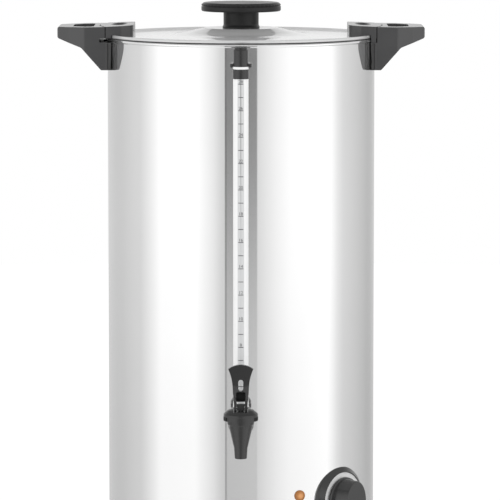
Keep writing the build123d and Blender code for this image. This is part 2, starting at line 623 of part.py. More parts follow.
def make_tap_lever():
    """Upright lever with a slot, a fork over the stem's head and toes that bear on the bonnet."""
    tip_x, tip_z, waist_x, waist_z = 13.1, 240.2, 8.9, 221.0
    shoulder_x, shoulder_z, step_z = 8.5, 212.8, 210.8
    half = [(waist_x, waist_z), (shoulder_x, shoulder_z), (PRONG_OUT, step_z), (PRONG_OUT, TOE_Z)]
    mirrored = [(-x, z) for x, z in reversed(half)]
    face = make_face(ThreePointArc((-tip_x, tip_z), (0, LEVER_TOP_Z), (tip_x, tip_z))
                     + ThreePointArc((tip_x, tip_z), (10.2, 231.0), (waist_x, waist_z))
                     + Polyline(*half, *mirrored)
                     + ThreePointArc((-waist_x, waist_z), (-10.2, 231.0), (-tip_x, tip_z)))
    blade = extrude(Plane.XZ * face, amount=10, both=True)
    side = outline((-6, TOE_Z, 1), (4.5, TOE_Z, 4.2), (4.5, 211, 4), (2.6, 222), (2.2, LEVER_TOP_Z + 1),
                   (-2.4, LEVER_TOP_Z + 1), (-2.8, 222), (-4.5, 212, 6), (-6, 204, 6))
    lever = blade & extrude(Plane.YZ * side, amount=20, both=True)
    lever -= block((-PRONG_IN, PRONG_IN), (-20, 20), (TOE_Z - 1, WEB_LOW_Z))
    slot_height = SLOT_HIGH_Z - SLOT_LOW_Z
    slot = Rot(90, 0, 0) * extrude(SlotOverall(slot_height, 5.6, rotation=90), amount=20, both=True)
    lever -= Pos(0, 0, SLOT_LOW_Z + slot_height / 2) * slot
    return at_tap(lever - across_pin(PIN_R + PIN_CLEARANCE, 20))


# ---- all nodes -------------------------------------------------------------------------------
def make_nodes():
    handle = make_handle()
    lid_block = make_lid_block()
    return {
        "outer_shell": make_outer_shell(),
        "tank_floor": make_tank_floor(),
        "heat_plate": make_heat_plate(),
        "heating_element": make_heating_element(),
        "element_clamp": make_element_clamp(),
        "clamp_nut": make_clamp_nut(),
        "base_ring": make_base_ring(),
        "base_plate": make_base_plate(),
        "rubber_feet": make_rubber_feet(),
        "foot_screws": make_foot_screws(),
        "boil_dry_cutout": make_boil_dry_cutout(),
        "reset_button": make_reset_button(),
        "terminal_block": make_terminal_block(),
        "cable_gland": make_cable_gland(),
        "gland_nut": make_gland_nut(),
        "dial_bezel": make_dial_bezel(),
        "dial_plate": make_dial_plate(),
        "dial_screws": make_dial_screws(),
        "thermostat_body": make_thermostat_body(),
        "thermostat_spindle": make_thermostat_spindle(),
        "thermostat_knob": make_thermostat_knob(),
        "lamp_lens": make_lamp_lens(),
        "lamp_body": make_lamp_body(),
        "lamp_nut": make_lamp_nut(),
        "handle_right": handle,
        "handle_left": Rot(0, 0, 180) * handle,
        "handle_screws": make_handle_screws(),
        "handle_washers": make_handle_washers(),
        "lid_seal": make_lid_seal(),
        "lid_pan": make_lid_pan(),
        "lid_knob": make_lid_knob(),
        "knob_screw": make_knob_screw(),
        "knob_washer": make_knob_washer(),
        "lid_block_right": lid_block,
        "lid_block_left": Rot(0, 0, 180) * lid_block,
        "lid_tongues": make_lid_tongues(),
        "tongue_screws": make_tongue_screws(),
        "block_screws": make_block_screws(),
        "gauge_tube": make_gauge_tube(),
        "gauge_head": make_gauge_head(),
        "gauge_top_plug": make_gauge_top_plug(),
        "gauge_bracket": make_gauge_bracket(),
        "bracket_screw": make_bracket_screw(),
        "bracket_washer": make_bracket_washer(),
        "gauge_seal": make_gauge_seal(),
        "tap_body": make_tap_body(),
        "tap_washer_outer": make_tap_washer_outer(),
        "tap_washer_inner": make_tap_washer_inner(),
        "tap_locknut": make_tap_locknut(),
        "tap_bonnet": make_tap_bonnet(),
        "tap_stem": make_tap_stem(),
        "lever_pin": make_lever_pin(),
        "seat_cup": make_seat_cup(),
        "tap_spring": make_tap_spring(),
        "tap_lever": make_tap_lever(),
    }


os.makedirs("parts", exist_ok=True)
for name, shape in make_nodes().items():
    export_step(shape, f"parts/{name}.step")
    print(name, round(shape.volume), "mm3")
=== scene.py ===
# %% [markdown]
# # A hot water urn, dressed
#
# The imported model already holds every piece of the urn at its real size: a tall stainless tank with a
# turn-to-lock lid, two loop handles, a sight gauge, a lever tap, a pilot lamp and a thermostat dial.
# This lesson gives those pieces the surfaces of the real thing. Plain fasteners keep their meshes and
# only get a finish. Everything that the light plays on, such as the polished wall, is modelled again
# with smooth curves and softened edges, in the same place and at the same size.
#
# The frame comes first, because each new piece is set out from it and moves with it.

# %% Load the frame
import json
from math import atan2, cos, pi, radians, sin, sqrt, tan

import bmesh
import bpy
from mathutils import Matrix, Vector


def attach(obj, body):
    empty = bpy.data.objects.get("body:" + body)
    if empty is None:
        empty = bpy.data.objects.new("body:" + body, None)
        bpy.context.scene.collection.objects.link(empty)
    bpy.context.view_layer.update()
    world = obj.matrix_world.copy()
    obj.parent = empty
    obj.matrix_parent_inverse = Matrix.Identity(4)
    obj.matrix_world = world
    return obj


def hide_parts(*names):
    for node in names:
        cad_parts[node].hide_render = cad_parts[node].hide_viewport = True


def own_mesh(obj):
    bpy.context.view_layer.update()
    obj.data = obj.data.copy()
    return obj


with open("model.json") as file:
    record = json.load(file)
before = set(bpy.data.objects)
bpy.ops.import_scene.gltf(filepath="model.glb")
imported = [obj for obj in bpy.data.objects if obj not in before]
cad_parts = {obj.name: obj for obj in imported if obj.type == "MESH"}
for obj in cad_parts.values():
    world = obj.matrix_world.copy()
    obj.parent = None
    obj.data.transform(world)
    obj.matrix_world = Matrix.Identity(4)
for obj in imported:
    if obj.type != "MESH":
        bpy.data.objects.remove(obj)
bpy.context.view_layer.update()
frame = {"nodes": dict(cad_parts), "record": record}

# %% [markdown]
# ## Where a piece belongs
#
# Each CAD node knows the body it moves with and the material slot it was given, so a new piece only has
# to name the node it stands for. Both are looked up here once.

BODIES = frame["record"]["behaviour"]["bodies"]
BODY_OF = {node: body for body, members in BODIES.items() for node in members}
SLOT_OF = {node: part.data.materials[0].name for node, part in frame["nodes"].items()}

# %% [markdown]
# ## Driving sizes
#
# Lengths are written in millimetres, as on a drawing, and MM turns them into Blender's metres. Sizes that
# several pieces share stand here; a size that only one piece needs stands beside that piece. The rim is
# the height that the lid, its seal and the handles are all set out from.

# %% Driving sizes
MM = 0.001
TANK_R = 150.0
SHEET = 0.8
RIM = 590.0
BEAD_TOP = RIM - 0.7
TAP_Y = -200.0
GAUGE_Y = -164.0
GAUGE_R = 8.4
LAMP_AZIMUTH, LAMP_Z = 25.6, 90.0
print(f"tank {2 * TANK_R:g} mm wide, rim at {RIM:g} mm")

# %% [markdown]
# ## Camera
#
# The urn is seen from a few metres away with a long lens, so its sides stay nearly parallel. The camera
# stands a little above the rim and looks down by about six degrees, which opens the lid to view. View
# transform Standard shows a colour as it is written, so a finish can be judged by its numbers.

# %% Camera
CAMERA_PLACE = (0.010, -4.5, 0.8333)
LOOK_DOWN = 6.15
LENS = 288.07

camera_data = bpy.data.cameras.new("camera")
camera_data.lens = LENS
camera_data.sensor_width = 36
camera_data.clip_end = 50
camera = bpy.data.objects.new("camera", camera_data)
camera.location = CAMERA_PLACE
camera.rotation_euler = (radians(90 - LOOK_DOWN), 0, 0)
bpy.context.scene.collection.objects.link(camera)
bpy.context.scene.camera = camera
bpy.context.scene.view_settings.view_transform = "Standard"
print(f"camera with a {LENS:g} mm lens at {CAMERA_PLACE}")

# %% [markdown]
# ## Node helpers
#
# A shader tree is many small steps: a sum, a blend, a change of range. Each helper adds one such step and
# hands back its output, so that a finish further down reads like a formula.

# %% Node helpers
def feed(tree, socket, value):
    """Gives a socket a plain value, or links another node's output to it."""
    if isinstance(value, bpy.types.NodeSocket):
        tree.links.new(value, socket)
    else:
        socket.default_value = value


def link_math(tree, operation, *values):
    """A Math node. Each value is a number or another node's output."""
    node = tree.nodes.new("ShaderNodeMath")
    node.operation = operation
    for socket, value in zip(node.inputs, values):
        feed(tree, socket, value)
    return node.outputs[0]


def map_range(tree, value, source, target, interpolation="SMOOTHSTEP"):
    """Takes a value from the source range to the target range and holds it at the ends."""
    node = tree.nodes.new("ShaderNodeMapRange")
    node.interpolation_type = interpolation
    for socket, number in zip(("From Min", "From Max", "To Min", "To Max"), (*source, *target)):
        node.inputs[socket].default_value = number
    tree.links.new(value, node.inputs["Value"])
    return node.outputs["Result"]


def object_place(tree):
    """The place on the urn, in metres. It stays with the surface when the piece moves."""
    return tree.nodes.new("ShaderNodeTexCoord").outputs["Object"]


def split_axes(tree, vector):
    """A vector's X, Y and Z as three outputs."""
    node = tree.nodes.new("ShaderNodeSeparateXYZ")
    tree.links.new(vector, node.inputs[0])
    return node.outputs


def blend_colours(tree, mask, first, second):
    """Goes from the first colour to the second as the mask goes from nought to one."""
    mix = tree.nodes.new("ShaderNodeMix")
    mix.data_type = "RGBA"
    feed(tree, mix.inputs["A"], first)
    feed(tree, mix.inputs["B"], second)
    tree.links.new(mask, mix.inputs["Factor"])
    return mix.outputs["Result"]


def rgb(red, green, blue):
    """A colour as sockets hold it, with full alpha."""
    return (red, green, blue, 1)


def grey(level):
    """A grey, from nought for black to one for white."""
    return rgb(level, level, level)


# %% [markdown]
# ## Node groups
#
# Several finishes share the same small effects. Each effect is a shader group with named inputs, built
# once: fine grain for rolled metal, and the pebbled skin of moulded plastic. A group only puts out masks
# and heights; the shader itself stays in each material.

# %% Helpers for groups
def new_group(name, inputs, outputs):
    """An empty shader group with float inputs {name: default} and float outputs [name]."""
    tree = bpy.data.node_groups.new(name, "ShaderNodeTree")
    for socket, value in inputs.items():
        made = tree.interface.new_socket(name=socket, in_out="INPUT", socket_type="NodeSocketFloat")
        made.default_value = value
    for socket in outputs:
        tree.interface.new_socket(name=socket, in_out="OUTPUT", socket_type="NodeSocketFloat")
    return tree, tree.nodes.new("NodeGroupInput"), tree.nodes.new("NodeGroupOutput")


def noise(tree, place, scale, detail):
    """Noise over a place. The scale is another node's output, the detail a number."""
    node = tree.nodes.new("ShaderNodeTexNoise")
    node.inputs["Detail"].default_value = detail
    tree.links.new(place, node.inputs["Vector"])
    tree.links.new(scale, node.inputs["Scale"])
    return node.outputs["Fac"]


# %% Group: rolled grain
def build_grain_group():
    """Streaks stretched along the height, and broad soft patches such as polishing leaves."""
    defaults = {"Scale": 900.0, "Stretch": 0.03, "Patch Scale": 14.0}
    tree, inlet, outlet = new_group("rolled grain", defaults, ["Streaks", "Patches"])
    place = object_place(tree)
    stretch = tree.nodes.new("ShaderNodeCombineXYZ")
    stretch.inputs["X"].default_value = 1
    stretch.inputs["Y"].default_value = 1
    tree.links.new(inlet.outputs["Stretch"], stretch.inputs["Z"])
    squeezed = tree.nodes.new("ShaderNodeVectorMath")
    squeezed.operation = "MULTIPLY"
    tree.links.new(place, squeezed.inputs[0])
    tree.links.new(stretch.outputs[0], squeezed.inputs[1])
    streaks = noise(tree, squeezed.outputs[0], inlet.outputs["Scale"], detail=3)
    patches = noise(tree, place, inlet.outputs["Patch Scale"], detail=2)
    tree.links.new(streaks, outlet.inputs["Streaks"])
    tree.links.new(patches, outlet.inputs["Patches"])
    return tree


# %% Group: pebbled skin
def build_pebble_group():
    """The spark-eroded texture of a plastic mould, with slow changes of tone across it."""
    defaults = {"Scale": 1400.0, "Tone Scale": 40.0}
    tree, inlet, outlet = new_group("pebbled skin", defaults, ["Pebbles", "Tone"])
    place = object_place(tree)
    pebbles = noise(tree, place, inlet.outputs["Scale"], detail=2)
    tone = noise(tree, place, inlet.outputs["Tone Scale"], detail=4)
    tree.links.new(pebbles, outlet.inputs["Pebbles"])
    tree.links.new(tone, outlet.inputs["Tone"])
    return tree


GRAIN = build_grain_group()
PEBBLE = build_pebble_group()
print("groups:", GRAIN.name, "and", PEBBLE.name)

# %% [markdown]
# ## Finishes
#
# A finish is a Principled shader with a few plain settings, whose colour and roughness wander a little
# between two values. The wandering is what keeps a surface from looking like a flat swatch: steel varies
# in roughness where it was polished, plastic varies in tone and has a pebbled skin.

# %% Finish helpers
NOISE_SPAN = (0.35, 0.65)


def new_finish(name, **sockets):
    """A material with sockets of its Principled shader set: Coat_IOR=1.5 sets Coat IOR."""
    material = bpy.data.materials.new(name)
    material.use_nodes = True
    shader = material.node_tree.nodes["Principled BSDF"]
    for socket, value in sockets.items():
        shader.inputs[socket.replace("_", " ")].default_value = value
    return material, material.node_tree, shader


def place_group(tree, group, **values):
    """One use of a shader group, with inputs set by name."""
    node = tree.nodes.new("ShaderNodeGroup")
    node.node_tree = group
    for socket, value in values.items():
        node.inputs[socket].default_value = value
    return node


def spread(tree, mask, low, high):
    """Spreads the middle of a noise mask, where most of its values are, over low to high."""
    return map_range(tree, mask, NOISE_SPAN, (low, high), "LINEAR")


def add_bump(tree, shader, height, depth):
    """Shades the surface as if a height of one stood a depth in metres above nought."""
    bump = tree.nodes.new("ShaderNodeBump")
    bump.inputs["Strength"].default_value = 1
    bump.inputs["Distance"].default_value = depth
    tree.links.new(height, bump.inputs["Height"])
    tree.links.new(bump.outputs["Normal"], shader.inputs["Normal"])


# %% [markdown]
# ### Metals
#
# The wall is polished to a mirror, so its roughness is close to nought. The lid is satin sheet under a
# bright skin: it glows evenly, and a faint sharp reflection lies over the glow. Two layers give that, a
# rough half-metallic base and a smooth coat. Screws and nuts are turned and duller than the wall.

# %% Metal finishes
def metal(name, level, roughness, grain_depth, scale=900.0, stretch=0.03, **sockets):
    """Grey metal: streaks for bump, broad patches for roughness and tone. Depths are in metres."""
    material, tree, shader = new_finish(name, **{"Metallic": 1.0, **sockets})
    grain = place_group(tree, GRAIN, Scale=scale, Stretch=stretch)
    patches = grain.outputs["Patches"]
    tree.links.new(blend_colours(tree, patches, grey(0.97 * level), grey(level)), shader.inputs["Base Color"])
    tree.links.new(spread(tree, patches, *roughness), shader.inputs["Roughness"])
    add_bump(tree, shader, grain.outputs["Streaks"], grain_depth)
    return material


polished_steel = metal("polished steel", 0.96, (0.040, 0.055), 0.3e-6, Metallic=0.94)
lid_steel = metal("lid steel", 0.78, (0.45, 0.52), 0.5e-6, stretch=1.0, Metallic=0.46,
                  Coat_Weight=1.0, Coat_Roughness=0.04, Coat_IOR=1.75)
turned_steel = metal("turned steel", 0.80, (0.16, 0.22), 2e-6, scale=500, stretch=1.0)
satin_aluminium = metal("satin aluminium", 0.84, (0.40, 0.46), 4e-6, scale=1500, stretch=1.0, Metallic=0.20)

# %% [markdown]
# ### Plastics and rubber
#
# The black mouldings aren't all the same black. The handles are a dark grey with a silky skin, the tap
# is a glossier black, the lid's knob a duller one, and the inside of the lever's pocket is painted nearly
# black, as painted shade for its depth. A little skin depth and a fitting refractive index tell them
# apart better than colour alone.

# %% Plastic and rubber finishes
def moulded(name, dark, light, roughness, depth, scale=1400.0, ior=1.5):
    """Moulded plastic or rubber: a pebbled skin for bump, and a slow wander of tone and gloss."""
    material, tree, shader = new_finish(name, IOR=ior)
    skin = place_group(tree, PEBBLE, Scale=scale)
    tone = skin.outputs["Tone"]
    tree.links.new(blend_colours(tree, tone, dark, light), shader.inputs["Base Color"])
    tree.links.new(spread(tree, tone, *roughness), shader.inputs["Roughness"])
    add_bump(tree, shader, skin.outputs["Pebbles"], depth)
    return material


handle_plastic = moulded("handle plastic", rgb(0.060, 0.060, 0.061), rgb(0.070, 0.070, 0.071),
                         (0.15, 0.20), 6e-6)
black_plastic = moulded("black plastic", grey(0.013), grey(0.018), (0.20, 0.26), 5e-6, ior=1.65)
knob_plastic = moulded("knob plastic", grey(0.014), grey(0.018), (0.30, 0.36), 5e-6, ior=1.42)
dial_plastic = moulded("dial plastic", grey(0.034), grey(0.042), (0.20, 0.26), 5e-6, ior=1.6)
# Painted shade: a near-black finish that darkens the inside of the lever's pocket.
pocket_shade_black = moulded("painted pocket shade black", grey(0.004), grey(0.006), (0.60, 0.70), 5e-6, ior=1.3)
soft_rubber = moulded("soft rubber", grey(0.018), rgb(0.028, 0.028, 0.027), (0.62, 0.75), 20e-6, 900, 1.45)
silicone = moulded("black silicone", rgb(0.022, 0.022, 0.023), grey(0.032), (0.45, 0.55), 6e-6, 1800)
white_nylon = moulded("white nylon", grey(0.86), grey(0.90), (0.38, 0.48), 8e-6)
opal_plastic = moulded("opal plastic", grey(0.92), grey(0.95), (0.12, 0.18), 2e-6)
scale_ink = moulded("scale ink", rgb(0.06, 0.06, 0.065), rgb(0.09, 0.09, 0.095), (0.45, 0.55), 1e-6)

# %% [markdown]
# ### Amber lens
#
# The pilot lamp shines through an amber lens. Its heart is painted light orange, a painted highlight on
# the dome, and towards its rim the amber deepens. The distance from the lamp's axis is enough to say
# where the rim is, and it needs no painted map.

# %% Amber lens finish
# Painted highlight: the light orange heart of the lens, deepening to amber at the rim.
AMBER_PAINTED_HIGHLIGHT, AMBER_RIM = rgb(0.92, 0.43, 0.16), rgb(0.42, 0.16, 0.035)
HIGHLIGHT_R, RIM_R = 2.2, 5.8


def amber(name, azimuth, height):
    """Amber lens plastic with a painted highlight in its heart, for a lamp at an azimuth in degrees and a
    height in mm on the wall.
    """
    material, tree, shader = new_finish(name, IOR=1.49, Transmission_Weight=0.12)
    apart = tree.nodes.new("ShaderNodeVectorMath")
    apart.operation = "DISTANCE"
    turn = radians(azimuth)
    apart.inputs[1].default_value = Vector((sin(turn) * TANK_R, -cos(turn) * TANK_R, height)) * MM
    tree.links.new(object_place(tree), apart.inputs[0])
    outer = map_range(tree, apart.outputs["Value"], (HIGHLIGHT_R * MM, RIM_R * MM), (0.0, 1.0))
    tree.links.new(blend_colours(tree, outer, AMBER_PAINTED_HIGHLIGHT, AMBER_RIM), shader.inputs["Base Color"])
    skin = place_group(tree, PEBBLE, Scale=300.0)
    tree.links.new(spread(tree, skin.outputs["Tone"], 0.10, 0.16), shader.inputs["Roughness"])
    return material


amber_lens = amber("amber lens", LAMP_AZIMUTH, LAMP_Z)

# %% [markdown]
# ### Which slot gets which finish
#
# A piece whose finish isn't named takes the finish of its slot. The window of the gauge has a finish of
# its own, which is made beside it.

# %% Finish of each slot
FINISH = {"steel_wall": polished_steel, "steel_parts": turned_steel, "aluminium": satin_aluminium,
          "black_plastic": black_plastic, "rubber": soft_rubber, "silicone": silicone,
          "amber_lens": amber_lens, "white_nylon": white_nylon}
print("finishes:", ", ".join(sorted(FINISH)))

# %% [markdown]
# ## Making and placing pieces
#
# Most of the urn is turned or spun on a real lathe or spinning chuck, so it is made the same way here: an
# outline of radii and heights, its corners rounded, spun about an axis. The round is cut on the flat
# outline with a vertex bevel, before the spin, because it is then exact all the way round.

# %% Spinning
BIG_ROUND = 2
SAME_PLACE = 1e-7


def rounded_outline(bm, corners):
    """Adds a closed face in XZ from (radius, height[, round]) corners in mm, with its corners rounded."""
    verts = [bm.verts.new((corner[0] * MM, 0, corner[1] * MM)) for corner in corners]
    bm.faces.new(verts)
    count = len(corners)
    for i, (vert, corner) in enumerate(zip(verts, corners)):
        if len(corner) < 3:
            continue
        here = Vector(corner[:2])
        before = Vector(corners[i - 1][:2]) - here
        after = Vector(corners[(i + 1) % count][:2]) - here
        reach = corner[2] / tan(before.angle(after) / 2)
        steps = 8 if corner[2] > BIG_ROUND else 5
        bmesh.ops.bevel(bm, geom=[vert], offset=reach * MM, offset_type="OFFSET", segments=steps,
                        profile=0.5, affect="VERTICES", clamp_overlap=False, material=-1)


def spun(corners, steps=192):
    """A turned solid about the vertical axis through the origin."""
    bm = bmesh.new()
    rounded_outline(bm, corners)
    bmesh.ops.delete(bm, geom=bm.faces[:], context="FACES_ONLY")
    on_axis = [edge for edge in bm.edges if all(abs(vert.co.x) < SAME_PLACE for vert in edge.verts)]
    bmesh.ops.delete(bm, geom=on_axis, context="EDGES")
    bmesh.ops.spin(bm, geom=bm.verts[:] + bm.edges[:], cent=(0, 0, 0), axis=(0, 0, 1), dvec=(0, 0, 0),
                   angle=radians(360), steps=steps, use_merge=True)
    bmesh.ops.remove_doubles(bm, verts=bm.verts, dist=SAME_PLACE)
    bmesh.ops.recalc_face_normals(bm, faces=bm.faces)
    return bm


# %% [markdown]
# Moulded pieces such as the handles have the right shape already, but their edges are knife sharp. A
# copy of the CAD mesh is merged, its flat faces are joined again, and its sharp edges are bevelled. The
# round catches a thin line of light, which is what makes a moulding look moulded.

# %% Softening a copy
MERGE = 0.002
FLAT_ANGLE, SHARP_ANGLE = 0.4, 28


def softened(node, edge_round):
    """A copy of a CAD node's mesh with its sharp edges rounded, by a radius in mm."""
    bm = bmesh.new()
    bm.from_mesh(frame["nodes"][node].data)
    bmesh.ops.remove_doubles(bm, verts=bm.verts, dist=MERGE * MM)
    bmesh.ops.dissolve_limit(bm, angle_limit=radians(FLAT_ANGLE), verts=bm.verts, edges=bm.edges)
    sharp = [edge for edge in bm.edges if edge.is_manifold and edge.calc_face_angle() > radians(SHARP_ANGLE)]
    bmesh.ops.bevel(bm, geom=sharp, offset=edge_round * MM, offset_type="OFFSET", segments=3,
                    profile=0.5, affect="EDGES", clamp_overlap=True, material=-1)
    return bm


def cut(bm, place, direction):
    """Adds edges where a plane through a place in mm meets the mesh. Long faces are cut up first."""
    bmesh.ops.triangulate(bm, faces=[face for face in bm.faces if len(face.verts) > 4])
    bmesh.ops.bisect_plane(bm, geom=bm.verts[:] + bm.edges[:] + bm.faces[:], dist=SAME_PLACE,
                           plane_co=Vector(place) * MM, plane_no=direction)


# %% [markdown]
# A finished mesh becomes an object at the origin, with its place in its mesh, as the CAD nodes have it.
# It is told which body it rides on and which slot its finish belongs to. Most pieces stand for a CAD node
# and take both from it. A weighted normal lets the large faces set the shading, so that a narrow round
# doesn't bend the light on the flat beside it.

# %% Placing a piece
def extra(name, bm, rides_with, finish, crease=30):
    """A piece that no CAD node stands for. It rides with a node's body and takes the slot it is given."""
    mesh = bpy.data.meshes.new(name)
    for face in bm.faces:
        face.smooth = True
    bm.to_mesh(mesh)
    bm.free()
    mesh.set_sharp_from_angle(angle=radians(crease))
    mesh.materials.append(finish)
    made = bpy.data.objects.new(name, mesh)
    bpy.context.scene.collection.objects.link(made)
    weighted = made.modifiers.new("large faces set the shading", "WEIGHTED_NORMAL")
    weighted.keep_sharp = True
    weighted.weight = 100
    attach(made, BODY_OF[rides_with])
    print(f"{name}: {len(mesh.polygons)} faces, on {BODY_OF[rides_with]}")
    return made


def piece(name, bm, stands_for, finish=None, crease=30):
    """A piece that takes the place, body and slot of a CAD node."""
    slot = SLOT_OF[stands_for]
    made = extra(name, bm, stands_for, finish or FINISH[slot], crease)
    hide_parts(stands_for)
    return made


def append(target, source):
    """Adds one bmesh to another and frees it."""
    step = bpy.data.meshes.new("step")
    source.to_mesh(step)
    source.free()
    target.from_mesh(step)
    bpy.data.meshes.remove(step)


def on_wall(bm, azimuth, height):
    """Sets a piece that was made facing up against the wall: its Z becomes outwards, its Y becomes up."""
    turn = radians(azimuth)
    out = Vector((sin(turn), -cos(turn), 0))
    along = Vector((cos(turn), sin(turn), 0))
    seat = Matrix((along, Vector((0, 0, 1)), out)).transposed().to_4x4()
    seat.translation = (out * TANK_R + Vector((0, 0, height))) * MM
    bmesh.ops.transform(bm, matrix=seat, verts=bm.verts)
    return bm


# %% [markdown]
# ## Tank
#
# The wall is one sheet of stainless steel, rolled to a tube, seam-welded and polished like a mirror. Its
# top edge is rolled outwards to a bead. A spin with many steps is the right way to make it: the eye reads
# a mirror by its reflections, and those break up on a tube with few facets. The floor is a shallow dish
# whose edge turns down into a skirt along the wall.

# %% Tank wall
BEAD = 3.2
BEAD_LOW = BEAD_TOP - BEAD
BEAD_OUTER = TANK_R + 1.4
BEAD_INNER = BEAD_OUTER - BEAD
WALL_BOTTOM = 15.0
INSIDE = TANK_R - SHEET

wall_outline = [(INSIDE, WALL_BOTTOM), (TANK_R, WALL_BOTTOM), (TANK_R, BEAD_LOW, 0.6),
                (BEAD_OUTER, BEAD_LOW, 0.9), (BEAD_OUTER, BEAD_TOP, 1.4), (BEAD_INNER, BEAD_TOP, 1.4),
                (BEAD_INNER, BEAD_LOW, 0.8), (INSIDE, BEAD_LOW, 0.3)]
piece("tank_wall", spun(wall_outline, steps=360), "outer_shell")

# %% Tank floor
FLOOR_TOP, FLOOR_SHEET = 143.5, 1.0
DISH_R, DISH_ROUND = 104, 20
SLOPE_R, SLOPE_TOP = 140, FLOOR_TOP + 2.5
SKIRT_LOW = FLOOR_TOP - 14

floor_outline = [(0, FLOOR_TOP - FLOOR_SHEET), (DISH_R, FLOOR_TOP - FLOOR_SHEET, DISH_ROUND),
                 (SLOPE_R, SLOPE_TOP - FLOOR_SHEET), (INSIDE - 3.5, SLOPE_TOP - FLOOR_SHEET, 2),
                 (INSIDE - FLOOR_SHEET, SKIRT_LOW), (INSIDE, SKIRT_LOW), (INSIDE, SLOPE_TOP, 3),
                 (SLOPE_R, SLOPE_TOP), (DISH_R, FLOOR_TOP, DISH_ROUND), (0, FLOOR_TOP)]
piece("tank_bottom", spun(floor_outline), "tank_floor")

# %% [markdown]
# ## Lid
#
# The lid is pressed from the same kind of sheet: a wide ring that is nearly flat, a cone, and a plateau
# under the knob. The press leaves no sharp line between ring and cone but a round of 90 mm, and so broad
# a round needs an outline with a real radius rather than a bevel after the spin. A rolled edge and a
# locating flange below it finish the pan. The seal is a thin black ring that shows as a dark line.

# %% Lid pan and seal
CREASE_R, CREASE_Z, CREASE_ROUND = 69.0, RIM + 3.2, 90
PLATEAU_R, PLATEAU_Z = 42.0, RIM + 10.1
ROLL_INNER, ROLL_OUTER = 147.2, 150.9
ROLL_LOW, ROLL_TOP = RIM + 0.2, RIM + 3.7
RING_TOP, RING_UNDER = RIM + 1.63, RIM + 1.65 - SHEET
FLANGE_R, FLANGE_LOW = 146.2, RIM - 9.0
SCREW_HOLE_R = 3.2
SEAL_INNER, SEAL_OUTER = 147.8, 150.3

lid_outline = [(SCREW_HOLE_R, PLATEAU_Z - SHEET), (PLATEAU_R, PLATEAU_Z - SHEET, 2.5),
               (CREASE_R, CREASE_Z - SHEET, CREASE_ROUND), (FLANGE_R - SHEET, RING_UNDER, 0.5),
               (FLANGE_R - SHEET, FLANGE_LOW), (FLANGE_R, FLANGE_LOW), (FLANGE_R, ROLL_LOW, 0.3),
               (ROLL_OUTER, ROLL_LOW, 1.5), (ROLL_OUTER, ROLL_TOP, 1.7), (ROLL_INNER, ROLL_TOP, 1.4),
               (ROLL_INNER, RING_TOP, 0.6), (CREASE_R, CREASE_Z, CREASE_ROUND), (PLATEAU_R, PLATEAU_Z, 3.5),
               (SCREW_HOLE_R, PLATEAU_Z)]
piece("lid_sheet", spun(lid_outline, steps=320), "lid_pan", lid_steel)

seal_outline = [(SEAL_INNER, BEAD_TOP), (SEAL_OUTER, BEAD_TOP, 0.2), (SEAL_OUTER, ROLL_LOW, 0.2),
                (SEAL_INNER, ROLL_LOW)]
piece("lid_gasket", spun(seal_outline, steps=256), "lid_seal")

# %% [markdown]
# ## Lid knob
#
# A wide mushroom with a V groove round its edge and fine scallops above the groove, for a sure grip with
# wet hands. The body is spun. The scallops are pressed into its edge afterwards by drawing the vertices
# of the upper edge inwards where each scallop's little circle cuts it.

# %% Lid knob
KNOB_R, KNOB_TOP, KNOB_UNDER = 44.7, RIM + 38.5, RIM + 28.7
NECK_R, NECK_FLARE = 19.8, 1.1
FLARE_LOW, FLARE_TOP = RIM + 11.1, RIM + 13.5
GROOVE_Z, GROOVE_DEPTH = RIM + 34.9, 0.9
CROWN_IN, CROWN_DOWN = 2.6, 2.2
SCALLOPS, STEPS_PER_SCALLOP = 48, 8
SCALLOP_R, SCALLOP_OUT = 2.2, 1.5
SCALLOP_BAND, SCALLOP_LOW = KNOB_R - 3, GROOVE_Z + 0.3

knob_outline = [(0, PLATEAU_Z), (NECK_R + NECK_FLARE, PLATEAU_Z, 0.4), (NECK_R + NECK_FLARE, FLARE_LOW, 0.5),
                (NECK_R, FLARE_TOP, 3), (NECK_R, KNOB_UNDER, 2.5), (KNOB_R, KNOB_UNDER, 1.8),
                (KNOB_R, GROOVE_Z - GROOVE_DEPTH, 0.3), (KNOB_R - GROOVE_DEPTH, GROOVE_Z, 0.2),
                (KNOB_R, GROOVE_Z + GROOVE_DEPTH, 0.3), (KNOB_R, KNOB_TOP - CROWN_DOWN, 1.6),
                (KNOB_R - CROWN_IN, KNOB_TOP, 2.6), (0, KNOB_TOP)]


def scalloped(bm):
    """Draws the edge above the groove inwards at each scallop."""
    pitch = 2 * pi / SCALLOPS
    for vert in bm.verts:
        radius = sqrt(vert.co.x ** 2 + vert.co.y ** 2) / MM
        if radius < SCALLOP_BAND or vert.co.z / MM < SCALLOP_LOW:
            continue
        offset = (atan2(vert.co.y, vert.co.x) + pitch / 2) % pitch - pitch / 2
        across = abs(offset) * KNOB_R
        if across < SCALLOP_R:
            reach = KNOB_R + SCALLOP_OUT - sqrt(SCALLOP_R ** 2 - across ** 2)
            if radius > reach:
                vert.co.xy = vert.co.xy * (reach / radius)
    return bm


knob_mesh = scalloped(spun(knob_outline, steps=SCALLOPS * STEPS_PER_SCALLOP))
piece("lid_knob_moulding", knob_mesh, "lid_knob", knob_plastic, crease=40)

# %% [markdown]
# ## Handles and lid blocks
#
# The two loop handles and the two blocks on the lid are thick dark mouldings. The seam between block and
# handle is an arc about the tank's axis, so the lid can turn. Their shape comes from the frame; what a
# viewer needs is the soft edge and skin of a moulding. Each handle stands on the wall with a smooth foot
# that is painted darker, as painted shade where the handle meets the wall, and a fine groove runs down the
# contact. The foot is the same moulding, so it isn't a new piece: planes cut its outline into the mesh, and
# the faces inside take a second, darker material as painted shade.

# %% Handles and blocks
HANDLE_ROUND, BLOCK_ROUND = 0.9, 0.7
FOOT_OUTER, FOOT_INNER = 149.6, 144.8
FOOT_TOP = 584.4
FOOT_HALF = 37
CONTACT_HALF, CONTACT_WIDTH, CONTACT_DEPTH = 41, 0.3, 3.0
SLACK = 0.05


